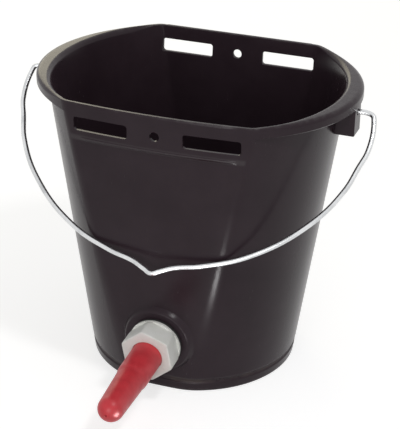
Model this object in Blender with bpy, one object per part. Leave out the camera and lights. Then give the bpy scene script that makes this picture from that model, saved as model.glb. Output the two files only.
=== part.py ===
"""Calf feeding bucket: a moulded bucket with two flat sides, a wire bail, and a teat on a screwed valve.

The bucket stands on Z = 0 with its axis on Z. X runs along the bail's pivots, and the teat points to -Y.
"""
import math

import bmesh
import bpy
from mathutils import Vector

MM = 0.001
CLEAR = 0.3 * MM
SIDES = 36
SMALL_SIDES = 24
ROUND_MID = 1 - math.cos(math.pi / 4)

# Bucket body
HEIGHT = 272 * MM
BASE_RADIUS = 95 * MM
TOP_RADIUS = 133.5 * MM
TOP_OVAL = 3.5 * MM
WALL = 3.0 * MM
FLOOR = 4.0 * MM
FLOOR_FILLET = 6.0 * MM
FLAT_SETBACK = 2.543 * MM
FLAT_BASE_DISTANCE = BASE_RADIUS - FLAT_SETBACK
FLAT_LEAN = math.radians(3.9)
FRONT_CROWN_RADIUS = 670 * MM
CORNER_SHARPNESS = 90
AROUND = 96

# Foot ring
FOOT_HEIGHT = 9.5 * MM
FOOT_STEP = 1.0 * MM
FOOT_GROOVE = 1.2 * MM

# Rim
RIM_OVERHANG = 13.5 * MM
RIM_HALF_LENGTH = TOP_RADIUS + RIM_OVERHANG
RIM_FLATTENING = 15.5 * MM
RIM_HALF_WIDTH = RIM_HALF_LENGTH - RIM_FLATTENING
RIM_THICKNESS = 3.4 * MM
SKIRT_DEPTH = 10 * MM
SKIRT_WALL = 2.6 * MM
LIP_ROUND = 4.5 * MM
LIP_LAND = 2.0 * MM
LIP_EDGE = 2.3 * MM
RIM_ROUND = 5.0 * MM
RIM_DROOP = 0.1 * MM
RIM_SINK = 0.3 * MM
RIM_BURY = 0.9 * MM

# Hanging band at the top of each flat
BAND_DEPTH = 31.5 * MM
BAND_HALF_WIDTH = 74 * MM
BAND_LIFT = 0.8 * MM
BAND_CORNER = 6 * MM
SLOT_LENGTH = 50 * MM
SLOT_HEIGHT = 12.4 * MM
SLOT_SPACING = 100 * MM
SLOT_DEPTH = 19.2 * MM
SLOT_CORNER = 2.5 * MM
HANG_HOLE_RADIUS = 4.2 * MM
HANG_HOLE_DEPTH = 18.8 * MM

# Bail and its ears
PIVOT_DEPTH = 15 * MM
PIVOT_HEIGHT = HEIGHT - PIVOT_DEPTH
EAR_INSET = 1.0 * MM
EAR_REACH = RIM_HALF_LENGTH - EAR_INSET
EAR_PLATE = 4.5 * MM
EAR_HALF_WIDTH = 10 * MM
EAR_RIB = 3.0 * MM
EAR_DROP = 20 * MM
EAR_CLEARANCE = 0.5 * MM
BAIL_WIRE_RADIUS = 2.3 * MM
BAIL_STANDOFF = 15.5 * MM
BAIL_HALF_SPAN = EAR_REACH + BAIL_STANDOFF
BAIL_REACH = 176 * MM
BAIL_FRONT_GAP = 16.706 * MM
BAIL_HEAD_RADIUS = 4.2 * MM
BAIL_HEAD_LENGTH = 2.5 * MM

# Valve axis and the pads on the wall
VALVE_HEIGHT = 52 * MM
PAD_RADIUS = 32 * MM
PAD_LIFT = 5 * MM
INNER_PAD_RADIUS = 28 * MM
INNER_PAD_LIFT = 1.2 * MM

# Valve pieces, from the bucket's inside to the teat's tip
SPIGOT_RADIUS = 17 * MM
FLANGE_RADIUS = 25.5 * MM
FLANGE_THICKNESS = 3.5 * MM
INNER_GASKET_THICKNESS = 2.5 * MM
OUTER_GASKET_THICKNESS = 2.4 * MM
GASKET_RADIUS = 24 * MM
BALL_RADIUS = 8 * MM
BALL_TRAVEL = 5 * MM
CHAMBER_RADIUS = 9.3 * MM
INLET_RADIUS = 6 * MM
SEAT_ANGLE = math.radians(45)
RETAINER_RADIUS = 13.7 * MM
RETAINER_THICKNESS = 3.2 * MM
RETAINER_HUB_RADIUS = 3.6 * MM
RETAINER_RIB = 2.4 * MM
RETAINER_RING = 2.6 * MM

# Union nut
NUT_ACROSS_FLATS = 44 * MM
NUT_LENGTH = 22 * MM
NUT_LIP = 3 * MM
NUT_COLLAR_RADIUS = 24 * MM
NUT_COLLAR_LENGTH = 2.5 * MM
NUT_CHAMFER = 2 * MM
NUT_EDGE = 1 * MM
NUT_TURN = math.radians(40)

# Teat
TEAT_FLANGE_RADIUS = 16.6 * MM
TEAT_FLANGE = 3 * MM
TEAT_BASE_RADIUS = 14.2 * MM
TEAT_STEP_LENGTH = 36 * MM
TEAT_STEP = 4 * MM
TEAT_WAIST_RADIUS = 13.3 * MM
TEAT_TIP_RADIUS = 11.6 * MM
TEAT_LENGTH = 92 * MM
TEAT_WALL = 3.2 * MM
TEAT_HOLE_RADIUS = 0.7 * MM


def bail_rest():
    """The bail's angle from straight down, where its middle lies a gap in front of the front flat."""
    flat_at_pivot = FLAT_BASE_DISTANCE + PIVOT_HEIGHT * math.tan(FLAT_LEAN)
    return math.asin((flat_at_pivot + BAIL_FRONT_GAP) * math.cos(FLAT_LEAN) / BAIL_REACH) - FLAT_LEAN


def clear_scene():
    for item in list(bpy.data.objects):
        bpy.data.objects.remove(item, do_unlink=True)


def material(name, colour, roughness, metallic=0.0):
    shade = bpy.data.materials.new(name)
    shade.use_nodes = True
    shader = shade.node_tree.nodes["Principled BSDF"]
    shader.inputs["Base Color"].default_value = (*colour, 1.0)
    shader.inputs["Roughness"].default_value = roughness
    shader.inputs["Metallic"].default_value = metallic
    return shade


def add_object(name, bm, shade=None, parent=None):
    bmesh.ops.recalc_face_normals(bm, faces=bm.faces)
    mesh = bpy.data.meshes.new(name)
    bm.to_mesh(mesh)
    bm.free()
    item = bpy.data.objects.new(name, mesh)
    bpy.context.collection.objects.link(item)
    item.parent = parent
    if shade:
        mesh.materials.append(shade)
        mesh.shade_smooth()
        mesh.set_sharp_from_angle(angle=math.radians(30))
    return item


def skin(rings, closed=False):
    """A mesh through rings of points: capped at both ends, or closed from the last ring to the first."""
    bm = bmesh.new()
    loops = [[bm.verts.new(point) for point in ring] for ring in rings]
    pairs = list(zip(loops, loops[1:]))
    if closed:
        pairs.append((loops[-1], loops[0]))
    else:
        bm.faces.new(loops[0])
        bm.faces.new(loops[-1])
    for low, high in pairs:
        for here in range(len(low)):
            there = (here + 1) % len(low)
            bm.faces.new((low[here], low[there], high[there], high[here]))
    return bm


def circle(radius, level, sides=SIDES):
    turns = (2 * math.pi * step / sides for step in range(sides))
    return [Vector((radius * math.cos(turn), radius * math.sin(turn), level)) for turn in turns]


def lathe(profile, closed=False, sides=SIDES):
    """A turned mesh about local Z from a list of (radius, level)."""
    return skin([circle(radius, level, sides) for radius, level in profile], closed)


def cylinder(radius, low, high, sides=SIDES):
    return lathe([(radius, low), (radius, high)], sides=sides)


def prism(outline, low, high):
    """A mesh that carries a flat outline of (x, y) from one level to another."""
    return skin([[Vector((x, y, level)) for x, y in outline] for level in (low, high)])


def rounded_box(half_x, half_y, corner, steps=4):
    points = []
    for turn, side_x, side_y in ((0, 1, 1), (1, -1, 1), (2, -1, -1), (3, 1, -1)):
        for step in range(steps + 1):
            angle = math.pi / 2 * (turn + step / steps)
            x = side_x * (half_x - corner) + corner * math.cos(angle)
            y = side_y * (half_y - corner) + corner * math.sin(angle)
            points.append((x, y))
    return points


def combine(target, tools, operation):
    """Joins or cuts with hidden tool objects that stay in the file."""
    group = bpy.data.collections.new(f"{target.name}_{operation.lower()}")
    for tool in tools:
        tool.hide_render = True
        tool.display_type = "WIRE"
        group.objects.link(tool)
    step = target.modifiers.new(group.name, "BOOLEAN")
    step.operation = operation
    step.operand_type = "COLLECTION"
    step.collection = group
    step.solver = "EXACT"


def flat_distance(level):
    """How far a flat's outer face lies from the bucket's axis at one level."""
    return FLAT_BASE_DISTANCE + level * math.tan(FLAT_LEAN)


def crown_drop(x):
    """How far the crowned front flat has fallen back at a distance from its middle."""
    return x * x / (2 * FRONT_CROWN_RADIUS)


def outline(half_x, half_y, flat, level):
    """Points round the bucket at one level: an oval cut by the crowned front and the plane back."""
    points = []
    for step in range(AROUND):
        turn = 2 * math.pi * step / AROUND
        across, along = math.cos(turn), math.sin(turn)
        oval = 1 / math.hypot(across / half_x, along / half_y)
        if along < 0:
            curve = math.sqrt(along * along + 2 * across * across * flat / FRONT_CROWN_RADIUS)
            reach = 2 * flat / (curve - along)
        else:
            reach = flat / max(along, 1e-6)
        softened = (oval / reach) ** CORNER_SHARPNESS
        radius = oval * (1 + softened) ** (-1 / CORNER_SHARPNESS)
        points.append(Vector((round(radius * across, 7), round(radius * along, 7), level)))
    return points


def body_ring(level, inset=0.0):
    """The wall's outline at one level, moved inwards by the inset."""
    share = level / HEIGHT
    half_x = BASE_RADIUS + (TOP_RADIUS - BASE_RADIUS) * share
    flat = flat_distance(level) - inset
    return outline(half_x - inset, half_x + TOP_OVAL * share - inset, flat, level)


def lip_ring(level, ends, inset):
    """A ring of the rounded inner lip, moved out from the wall at the ends and inset at the flats."""
    half = TOP_RADIUS - WALL + ends
    return outline(half, half, flat_distance(level) - inset, level)


def rim_ring(level, inset, sink):
    """A ring of the overhang, inset from its edge at the ends and sunk into the wall at the flats."""
    flat = flat_distance(level) - sink
    return outline(RIM_HALF_LENGTH - inset, RIM_HALF_WIDTH - inset, flat, level)


def bucket_wall():
    outer = [
        body_ring(0, FOOT_STEP),
        body_ring(FOOT_STEP),
        body_ring(FOOT_HEIGHT - FOOT_STEP),
        body_ring(FOOT_HEIGHT, FOOT_STEP / 2),
        body_ring(FOOT_HEIGHT + FOOT_GROOVE, FOOT_GROOVE),
        body_ring(FOOT_HEIGHT + 2 * FOOT_GROOVE, FOOT_GROOVE),
        body_ring(FOOT_HEIGHT + 4 * FOOT_GROOVE),
    ]
    outer += [body_ring(HEIGHT * share) for share in (0.25, 0.5, 0.75)]
    under_rim = HEIGHT - RIM_DROOP - LIP_EDGE
    lip = [
        body_ring(under_rim - LIP_LAND),
        lip_ring(under_rim, LIP_ROUND + LIP_LAND, 0),
        lip_ring(HEIGHT, LIP_ROUND + LIP_LAND, 0),
        lip_ring(HEIGHT, LIP_ROUND, WALL / 2),
        lip_ring(HEIGHT - ROUND_MID * LIP_ROUND, ROUND_MID * LIP_ROUND, WALL * (1 - ROUND_MID / 2)),
        body_ring(HEIGHT - LIP_ROUND, WALL),
    ]
    inner = [body_ring(HEIGHT * share, WALL) for share in (0.75, 0.5, 0.25)]
    floor = [
        body_ring(FLOOR + FLOOR_FILLET, WALL),
        body_ring(FLOOR + ROUND_MID * FLOOR_FILLET, WALL + ROUND_MID * FLOOR_FILLET),
        body_ring(FLOOR, WALL + FLOOR_FILLET),
    ]
    return skin(outer + lip + inner + floor)


def between(inner, outer, share, level):
    """A ring that lies part of the way from one ring to another, set at a level."""
    rings = zip(inner, outer)
    return [Vector((*near.xy.lerp(far.xy, share), level)) for near, far in rings]


def rim_overhang():
    """The flange and skirt at both ends, a closed ring that lies inside the wall at the flats."""
    top = HEIGHT - RIM_DROOP
    under = top - RIM_THICKNESS
    land = LIP_ROUND + LIP_LAND / 2
    inner = lip_ring(top, land, RIM_BURY)
    outer = rim_ring(under, 0, RIM_SINK)
    rounded = RIM_ROUND / (RIM_HALF_LENGTH - TOP_RADIUS + WALL - land)
    return skin([
        inner,
        between(inner, outer, 1 - rounded, top),
        between(inner, outer, 1 - ROUND_MID * rounded, top - ROUND_MID * RIM_THICKNESS),
        outer,
        rim_ring(top - SKIRT_DEPTH, 0, RIM_SINK),
        rim_ring(top - SKIRT_DEPTH, SKIRT_WALL, RIM_BURY),
        rim_ring(under, SKIRT_WALL, RIM_BURY),
        lip_ring(under, WALL / 2, WALL / 2),
    ], closed=True)


def band(side):
    """The raised band round the slots, which follows the flat behind it."""
    bm = bmesh.new()
    columns = 8
    levels = (HEIGHT - BAND_DEPTH, HEIGHT - BAND_DEPTH + BAND_CORNER, HEIGHT - WALL)
    for depth in (BAND_LIFT, -WALL / 2):
        for row, level in enumerate(levels):
            half = BAND_HALF_WIDTH - (BAND_CORNER if row == 0 else 0)
            for column in range(columns + 1):
                x = half * (2 * column / columns - 1)
                drop = crown_drop(x) if side < 0 else 0
                bm.verts.new((x, side * (flat_distance(level) + depth - drop), level))
    bm.verts.ensure_lookup_table()
    width = columns + 1
    layer = width * len(levels)
    for row in range(len(levels) - 1):
        for column in range(columns):
            corner = row * width + column
            for start in (corner, corner + layer):
                bm.faces.new([bm.verts[start + step] for step in (0, 1, width + 1, width)])
    for column in range(columns):
        for corner in (column, column + layer - width):
            bm.faces.new([bm.verts[corner + step] for step in (0, 1, layer + 1, layer)])
    for row in range(len(levels) - 1):
        for corner in (row * width, row * width + columns):
            bm.faces.new([bm.verts[corner + step] for step in (0, width, layer + width, layer)])
    return bm


def ear(side):
    """One ear: an outer plate that the bail turns in, held to the wall by two ribs and open below."""
    rings = []
    for level in (PIVOT_HEIGHT - EAR_DROP, HEIGHT - RIM_THICKNESS / 2):
        root = BASE_RADIUS + (TOP_RADIUS - BASE_RADIUS) * level / HEIGHT - WALL / 2
        plate = EAR_REACH - EAR_PLATE
        pocket = EAR_HALF_WIDTH - EAR_RIB
        width = EAR_HALF_WIDTH
        outer = [(root, -width), (EAR_REACH, -width), (EAR_REACH, width), (root, width)]
        inner = [(root, pocket), (plate, pocket), (plate, -pocket), (root, -pocket)]
        rings.append([Vector((side * x, y, level)) for x, y in outer + inner])
    return skin(rings)


def make_bucket(shade, valve_axis):
    shell = add_object("bucket_shell", bucket_wall(), shade)
    pad = cylinder(PAD_RADIUS, -WALL / 2, PAD_LIFT)
    inner_pad = cylinder(INNER_PAD_RADIUS, -WALL - INNER_PAD_LIFT, -WALL / 2)
    combine(shell, [
        add_object("rim_tool", rim_overhang()),
        add_object("front_band_tool", band(-1)),
        add_object("back_band_tool", band(1)),
        add_object("left_ear_tool", ear(-1)),
        add_object("right_ear_tool", ear(1)),
        add_object("pad_tool", pad, parent=valve_axis),
        add_object("inner_pad_tool", inner_pad, parent=valve_axis),
    ], "UNION")
    bore = cylinder(SPIGOT_RADIUS + CLEAR, -4 * WALL, 2 * PAD_LIFT)
    cutters = [add_object("valve_bore_tool", bore, parent=valve_axis)]
    cutters += flat_cutters()
    for side, place in ((-1, "left"), (1, "right")):
        hole = BAIL_WIRE_RADIUS + EAR_CLEARANCE
        drill = cylinder(hole, EAR_REACH - 2 * EAR_PLATE, RIM_HALF_LENGTH, SMALL_SIDES)
        tool = add_object(f"{place}_ear_hole_tool", drill)
        tool.location = (0, 0, PIVOT_HEIGHT)
        tool.rotation_euler = (0, side * math.pi / 2, 0)
        cutters.append(tool)
    combine(shell, cutters, "DIFFERENCE")
    return shell


def flat_cutters():
    """Cutters for two slots and a round hole through each flat."""
    reach = (FLAT_BASE_DISTANCE / 2, flat_distance(HEIGHT) + 2 * WALL)
    cutters = []
    for turn, place in ((0, "front"), (math.pi, "back")):
        for side, end in ((-1, "left"), (1, "right")):
            shape = rounded_box(SLOT_LENGTH / 2, SLOT_HEIGHT / 2, SLOT_CORNER)
            tool = add_object(f"{place}_{end}_slot_tool", prism(shape, *reach))
            tool.location = (side * SLOT_SPACING / 2, 0, HEIGHT - SLOT_DEPTH)
            tool.rotation_euler = (math.pi / 2, 0, turn)
            cutters.append(tool)
        tool = add_object(f"{place}_hole_tool", cylinder(HANG_HOLE_RADIUS, *reach, SMALL_SIDES))
        tool.location = (0, 0, HEIGHT - HANG_HOLE_DEPTH)
        tool.rotation_euler = (math.pi / 2, 0, turn)
        cutters.append(tool)
    return cutters


def make_bail(shade):
    """The wire bail, hung from its ear pivots and turned to lie on the bucket's front."""
    pivot = bpy.data.objects.new("bail_pivot", None)
    bpy.context.collection.objects.link(pivot)
    pivot.location = (0, 0, PIVOT_HEIGHT)
    pivot.rotation_euler = (-bail_rest(), 0, 0)
    seat = EAR_REACH - EAR_PLATE - CLEAR
    bend = 6 * MM
    upset = BAIL_HEAD_RADIUS / BAIL_WIRE_RADIUS
    heads = [(seat - BAIL_HEAD_LENGTH, 0, upset), (seat - CLEAR, 0, upset), (seat, 0, 1)]
    half = [
        (BAIL_HALF_SPAN - bend, 0),
        (BAIL_HALF_SPAN - 0.3 * bend, 0.3 * bend),
        (BAIL_HALF_SPAN, bend),
        (BAIL_HALF_SPAN + 1 * MM, 0.19 * BAIL_REACH),
        (BAIL_HALF_SPAN - 4 * MM, 0.285 * BAIL_REACH),
        (0.93 * BAIL_HALF_SPAN, 0.41 * BAIL_REACH),
        (0.79 * BAIL_HALF_SPAN, 0.603 * BAIL_REACH),
        (0.515 * BAIL_HALF_SPAN, 0.812 * BAIL_REACH),
        (0.265 * BAIL_HALF_SPAN, 0.913 * BAIL_REACH),
        (0.11 * BAIL_HALF_SPAN, 0.952 * BAIL_REACH),
        (0.045 * BAIL_HALF_SPAN, 0.982 * BAIL_REACH),
    ]
    half = heads + [(x, reach, 1) for x, reach in half]
    route = half + [(0, BAIL_REACH, 1)] + [(-x, reach, thick) for x, reach, thick in reversed(half)]
    curve = bpy.data.curves.new("bail", "CURVE")
    curve.dimensions = "3D"
    curve.bevel_depth = BAIL_WIRE_RADIUS
    curve.bevel_resolution = 3
    curve.use_fill_caps = True
    wire = curve.splines.new("BEZIER")
    wire.resolution_u = 4
    wire.bezier_points.add(len(route) - 1)
    for knot, (x, reach, thick) in zip(wire.bezier_points, route):
        knot.co = (x, 0, -reach)
        knot.radius = thick
        knot.handle_left_type = knot.handle_right_type = "AUTO"
    curve.materials.append(shade)
    bail = bpy.data.objects.new("bail", curve)
    bpy.context.collection.objects.link(bail)
    bail.parent = pivot
    return bail


def valve_back():
    """The inner face of the valve body's flange, as a level on the valve axis."""
    return -(WALL + INNER_PAD_LIFT + CLEAR + INNER_GASKET_THICKNESS + CLEAR + FLANGE_THICKNESS)


def nut_back():
    """The nut's inner face, which bears on the outer gasket."""
    return PAD_LIFT + CLEAR + OUTER_GASKET_THICKNESS + CLEAR


def teat_lip():
    """The face of the teat's flange that the nut's inner lip presses on."""
    return nut_back() + NUT_LENGTH - NUT_LIP - CLEAR


def spigot_end():
    """The spigot's end, which the teat's flange seals on."""
    return teat_lip() - TEAT_FLANGE - CLEAR


def retainer_back():
    """The face of the retainer that stops the ball: its other face is flush with the spigot's end."""
    return spigot_end() - RETAINER_THICKNESS


def ball_level():
    """The ball's centre when it rests on its seat."""
    return retainer_back() - CLEAR - BALL_TRAVEL - BALL_RADIUS


def seat_level(radius):
    """Where the conical ball seat has a given radius."""
    tip = ball_level() - (BALL_RADIUS + CLEAR / 2) / math.sin(SEAT_ANGLE)
    return tip + radius / math.tan(SEAT_ANGLE)


def make_valve(parent, white, black, ball_shade):
    back = valve_back()
    front = back + FLANGE_THICKNESS
    step = retainer_back() - CLEAR
    body = lathe([
        (INLET_RADIUS, back),
        (FLANGE_RADIUS, back),
        (FLANGE_RADIUS, front),
        (SPIGOT_RADIUS, front),
        (SPIGOT_RADIUS, spigot_end()),
        (RETAINER_RADIUS + CLEAR, spigot_end()),
        (RETAINER_RADIUS + CLEAR, step),
        (CHAMBER_RADIUS, step),
        (CHAMBER_RADIUS, seat_level(CHAMBER_RADIUS)),
        (INLET_RADIUS, seat_level(INLET_RADIUS)),
    ], closed=True)
    add_object("valve_body", body, white, parent)
    inner = SPIGOT_RADIUS + CLEAR
    for name, start, thick in (
        ("inner_gasket", front + CLEAR, INNER_GASKET_THICKNESS),
        ("outer_gasket", PAD_LIFT + CLEAR, OUTER_GASKET_THICKNESS),
    ):
        end = start + thick
        ring = [(inner, start), (GASKET_RADIUS, start), (GASKET_RADIUS, end), (inner, end)]
        add_object(name, lathe(ring, closed=True), black, parent)
    ball = bmesh.new()
    bmesh.ops.create_uvsphere(ball, u_segments=24, v_segments=12, radius=BALL_RADIUS)
    ball = add_object("valve_ball", ball, ball_shade, parent)
    ball.location = (0, 0, ball_level())
    make_retainer(parent, white)


def make_retainer(parent, shade):
    """The spoked disc that keeps the ball in the valve body and lets the milk past."""
    start = retainer_back()
    end = start + RETAINER_THICKNESS
    disc = add_object("ball_retainer", cylinder(RETAINER_RADIUS, start, end), shade, parent)
    outer = RETAINER_RADIUS - RETAINER_RING
    windows = []
    for quarter in range(4):
        sector = []
        for radius, direction in ((outer, 1), (RETAINER_HUB_RADIUS, -1)):
            margin = math.asin(RETAINER_RIB / 2 / radius)
            for step in range(5):
                share = step / 4 if direction > 0 else 1 - step / 4
                turn = margin + (math.pi / 2 - 2 * margin) * share
                sector.append((radius * math.cos(turn), radius * math.sin(turn)))
        window = prism(sector, start - CLEAR, end + CLEAR)
        tool = add_object(f"retainer_window_{quarter}", window, parent=parent)
        tool.rotation_euler = (0, 0, quarter * math.pi / 2)
        windows.append(tool)
    combine(disc, windows, "DIFFERENCE")


def hexagon(level, limit, sides=SIDES):
    """A hexagon's outline whose corners are turned down to a radius."""
    points = []
    for step in range(sides):
        turn = 2 * math.pi * step / sides
        local = (turn + math.pi / 6) % (math.pi / 3) - math.pi / 6
        radius = min(NUT_ACROSS_FLATS / 2 / math.cos(local), limit)
        points.append(Vector((radius * math.cos(turn), radius * math.sin(turn), level)))
    return points


def make_nut(parent, shade):
    """The hexagonal union nut: it clamps the valve body to the wall and holds the teat by its flange."""
    back = nut_back()
    front = back + NUT_LENGTH
    corner = NUT_ACROSS_FLATS / math.sqrt(3)
    collar = back + NUT_COLLAR_LENGTH
    bore = SPIGOT_RADIUS + CLEAR
    mouth = TEAT_BASE_RADIUS + CLEAR
    rings = [
        circle(bore, back),
        circle(NUT_COLLAR_RADIUS, back),
        circle(NUT_COLLAR_RADIUS, collar),
        hexagon(collar, NUT_COLLAR_RADIUS - CLEAR),
        hexagon(collar + NUT_CHAMFER, corner),
        hexagon(front - NUT_EDGE, corner),
        hexagon(front, corner - NUT_EDGE),
        circle(mouth, front),
        circle(mouth, front - NUT_LIP),
        circle(bore, front - NUT_LIP),
    ]
    nut = add_object("union_nut", skin(rings, closed=True), shade, parent)
    nut.rotation_euler = (0, 0, NUT_TURN - math.pi / 6)
    return nut


def make_teat(parent, shade):
    """The hollow rubber teat, with the flange that the nut clamps and a milk hole at its tip."""
    lip = teat_lip()
    flange = lip - TEAT_FLANGE
    mouth = lip + CLEAR + NUT_LIP
    step = mouth + TEAT_STEP_LENGTH - TEAT_STEP / 2
    tip = mouth + TEAT_LENGTH - TEAT_TIP_RADIUS
    outer = [
        (TEAT_FLANGE_RADIUS, flange),
        (TEAT_FLANGE_RADIUS, lip),
        (TEAT_BASE_RADIUS, lip),
        (TEAT_BASE_RADIUS, step),
        (TEAT_WAIST_RADIUS, step + TEAT_STEP),
        (TEAT_TIP_RADIUS, tip),
    ]
    dome = [math.radians(turn) for turn in (22, 45, 66)]
    outer += [(TEAT_TIP_RADIUS * math.cos(turn), tip + TEAT_TIP_RADIUS * math.sin(turn)) for turn in dome]
    bore_end = TEAT_TIP_RADIUS - TEAT_WALL
    inner = []
    for radius in (TEAT_TIP_RADIUS, bore_end):
        inner.append((TEAT_HOLE_RADIUS, tip + math.sqrt(radius ** 2 - TEAT_HOLE_RADIUS ** 2)))
    inner += [(bore_end * math.cos(turn), tip + bore_end * math.sin(turn)) for turn in reversed(dome)]
    inner += [
        (bore_end, tip),
        (TEAT_WAIST_RADIUS - TEAT_WALL, step + TEAT_STEP),
        (TEAT_BASE_RADIUS - TEAT_WALL, step),
        (TEAT_BASE_RADIUS - TEAT_WALL, flange),
    ]
    return add_object("teat", lathe(outer + inner, closed=True), shade, parent)


def main():
    clear_scene()
    black = material("black_polypropylene", (0.026, 0.020, 0.024), 0.32)
    wire = material("galvanised_wire", (0.72, 0.73, 0.74), 0.30, 1.0)
    white = material("white_nylon", (0.80, 0.78, 0.74), 0.40)
    red = material("red_rubber", (0.46, 0.025, 0.035), 0.45)
    dark = material("black_rubber", (0.02, 0.02, 0.02), 0.70)
    plain = material("white_ball", (0.85, 0.85, 0.82), 0.30)
    valve_axis = bpy.data.objects.new("valve_axis", None)
    bpy.context.collection.objects.link(valve_axis)
    valve_axis.location = (0, -flat_distance(VALVE_HEIGHT), VALVE_HEIGHT)
    valve_axis.rotation_euler = (math.pi / 2 + FLAT_LEAN, 0, 0)
    bpy.context.view_layer.update()
    make_bucket(black, valve_axis)
    make_bail(wire)
    make_valve(valve_axis, white, dark, plain)
    make_nut(valve_axis, white)
    make_teat(valve_axis, red)


main()
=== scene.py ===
"""Calf feeding bucket: the finished surfaces of every piece, a pale studio and the camera."""

import math

import bmesh
import bpy
import numpy as np
from mathutils import Matrix, Vector


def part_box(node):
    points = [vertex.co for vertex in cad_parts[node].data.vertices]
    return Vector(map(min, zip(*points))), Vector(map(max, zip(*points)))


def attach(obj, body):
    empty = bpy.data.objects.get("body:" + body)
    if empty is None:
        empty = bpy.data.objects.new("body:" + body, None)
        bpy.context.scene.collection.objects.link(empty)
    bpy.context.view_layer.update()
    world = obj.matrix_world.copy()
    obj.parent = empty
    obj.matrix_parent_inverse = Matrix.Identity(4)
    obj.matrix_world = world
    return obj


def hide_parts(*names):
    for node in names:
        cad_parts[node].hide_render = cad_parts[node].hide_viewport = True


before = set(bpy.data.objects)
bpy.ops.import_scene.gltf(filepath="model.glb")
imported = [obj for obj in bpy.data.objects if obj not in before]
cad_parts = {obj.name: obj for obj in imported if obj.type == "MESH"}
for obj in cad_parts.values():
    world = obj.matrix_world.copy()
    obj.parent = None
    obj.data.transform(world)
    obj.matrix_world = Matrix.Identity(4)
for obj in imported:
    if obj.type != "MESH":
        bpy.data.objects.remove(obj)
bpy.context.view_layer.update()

# The bucket is one injection moulding in dark brown-black polypropylene, semi-gloss, with a crowned front
# flat and a plane back flat. Its rim rolls outwards over both ends into a flange with a hanging skirt, and
# the skirt runs out at the corners of the flats. Bands, ears and valve pads are moulded on.

MM = 0.001
shell_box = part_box("bucket_shell")
HEIGHT = shell_box[1].z
RIM_REACH = shell_box[1].x
RIM_OVERHANG = 13.5 * MM
TOP_RADIUS = RIM_REACH - RIM_OVERHANG
TOP_OVAL = 3.5 * MM
BASE_RADIUS = 95 * MM
FLAT_BASE_DISTANCE = 92.457 * MM
FLAT_LEAN = math.radians(3.9)
FRONT_CROWN = 1 / (2 * 670 * MM)
BASE_SOFTNESS = 9 * MM
TOP_SOFTNESS = 3.5 * MM
WALL = 3 * MM
FLAT_STEPS = 14
CORNER_STEPS = 7
END_STEPS = 26


def flat_distance(level):
    """How far a flat's outer face lies from the bucket's axis at one level."""
    return FLAT_BASE_DISTANCE + level * math.tan(FLAT_LEAN)


def bend(start, control, end, steps):
    """Points of a soft bend between two points, without the two."""
    share = np.arange(1, steps)[:, None] / steps
    return (1 - share) ** 2 * start + 2 * share * (1 - share) * control + share ** 2 * end


def quarter(half_x, half_y, flat, crown, reach, softness):
    """From the middle of a flat, round its soft corner, to the middle of an end that reaches out as told."""
    square = (crown / half_y) ** 2
    linear = 1 / half_x ** 2 - 2 * flat * crown / half_y ** 2
    fixed = (flat / half_y) ** 2 - 1
    corner_x = math.sqrt(-2 * fixed / (linear + math.sqrt(linear ** 2 - 4 * square * fixed)))
    corner_y = flat - crown * corner_x ** 2
    wide = corner_y / math.sqrt(1 - (corner_x / reach) ** 2)
    turn = math.atan2(corner_y / wide, corner_x / reach)
    turn -= softness / math.hypot(reach * math.sin(turn), wide * math.cos(turn))
    across = np.linspace(0, corner_x - softness, FLAT_STEPS + 1)
    turns = np.linspace(turn, 0, END_STEPS + 1)
    flat_part = np.column_stack((across, flat - crown * across ** 2))
    end_part = np.column_stack((reach * np.cos(turns), wide * np.sin(turns)))
    corner = bend(flat_part[-1], np.array((corner_x, corner_y)), end_part[0], CORNER_STEPS)
    return np.vstack((flat_part, corner, end_part))


def outline(level, inset=0.0, reach=None):
    """The wall's outline at one level, moved in by the inset, or with ends that reach further out."""
    share = level / HEIGHT
    half_x = BASE_RADIUS + (TOP_RADIUS - BASE_RADIUS) * share - inset
    half_y = half_x + TOP_OVAL * share
    flat = flat_distance(level) - inset
    softness = BASE_SOFTNESS + (TOP_SOFTNESS - BASE_SOFTNESS) * share
    front = quarter(half_x, half_y, flat, FRONT_CROWN, reach or half_x, softness) * (1, -1)
    back = quarter(half_x, half_y, flat, 0, reach or half_x, softness)
    right = np.vstack((front, back[::-1][1:]))
    return np.vstack((right, right[::-1][1:-1] * (-1, 1)))


def ring(points, level):
    """Points in space from an outline and one level, or a level for each point."""
    return np.column_stack((points, np.broadcast_to(level, len(points))))


LONGEST_BEND = 0.45


def soften(points, radius, steps=4, closed=False):
    """A profile whose corners are rounded off, as a mould's are."""
    points = [np.array(point, float) for point in points]
    soft = [] if closed else [points[0]]
    for place in range(0 if closed else 1, len(points) if closed else len(points) - 1):
        here = points[place]
        ends = []
        for other in (points[place - 1], points[(place + 1) % len(points)]):
            length = np.linalg.norm(other - here)
            ends.append(here + (other - here) * min(radius / length, LONGEST_BEND))
        soft += [ends[0], *bend(ends[0], here, ends[1], steps), ends[1]]
    return soft if closed else soft + [points[-1]]


def skin(rings, ends="capped"):
    """A mesh through rings of points: capped, capped by strips across, or closed from last ring to first."""
    mesh = bmesh.new()
    loops = [[mesh.verts.new(point) for point in points] for points in rings]
    pairs = list(zip(loops, loops[1:]))
    if ends == "closed":
        pairs.append((loops[-1], loops[0]))
    elif ends == "capped":
        mesh.faces.new(loops[0])
        mesh.faces.new(loops[-1])
    else:
        for loop in (loops[0], loops[-1]):
            for here in range(len(loop) // 2 - 1):
                mesh.faces.new((loop[here], loop[here + 1], loop[-here - 2], loop[-here - 1]))
    for low, high in pairs:
        for here in range(len(low)):
            there = (here + 1) % len(low)
            mesh.faces.new((low[here], low[there], high[there], high[here]))
    return mesh


SHARP = math.radians(30)
MERGE_DISTANCE = 0.01 * MM


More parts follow.
